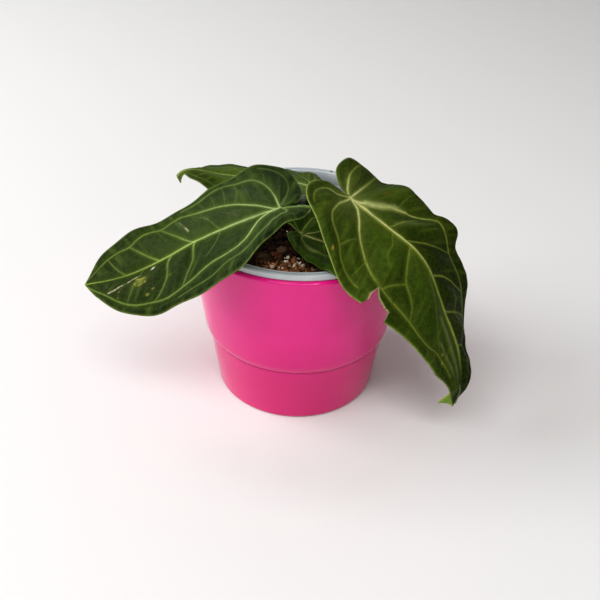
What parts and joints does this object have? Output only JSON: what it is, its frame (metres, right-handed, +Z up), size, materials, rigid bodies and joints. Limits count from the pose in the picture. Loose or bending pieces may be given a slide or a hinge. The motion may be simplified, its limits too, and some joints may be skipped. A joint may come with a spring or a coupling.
{
  "type": "potted anthurium",
  "caption": "Potted velvet-leaved anthurium: heart-shaped leaves arching out of a nursery pot that hangs by its lip in a stepped, glazed outer pot.",
  "frame": {"origin": "centre of the outer pot's flat base, on the surface that it stands on", "axes": "+Z up along the pots' axis, -Y to the front, +X to the right, the way the two large leaves spread"},
  "size_m": [0.1968, 0.1434, 0.1441],
  "materials": {
    "glazed_ceramic": "glossy bright pink glaze",
    "grey_plastic": "satin blue-grey plastic",
    "soil": "matt dark bark and coir mix with white grains",
    "stem": "dry brown-green stem with old sheaths",
    "dark_leaf": "velvety dark green with pale veins",
    "mid_leaf": "velvety mid green with pale veins"
  },
  "bodies": {
    "root": {"outer_pot": "glazed_ceramic", "nursery_pot": "grey_plastic", "soil": "soil", "stem": "stem", "leaf_left": "dark_leaf", "leaf_right": "mid_leaf", "leaf_back": "dark_leaf", "leaf_front": "mid_leaf"}
  },
  "joints": []
}
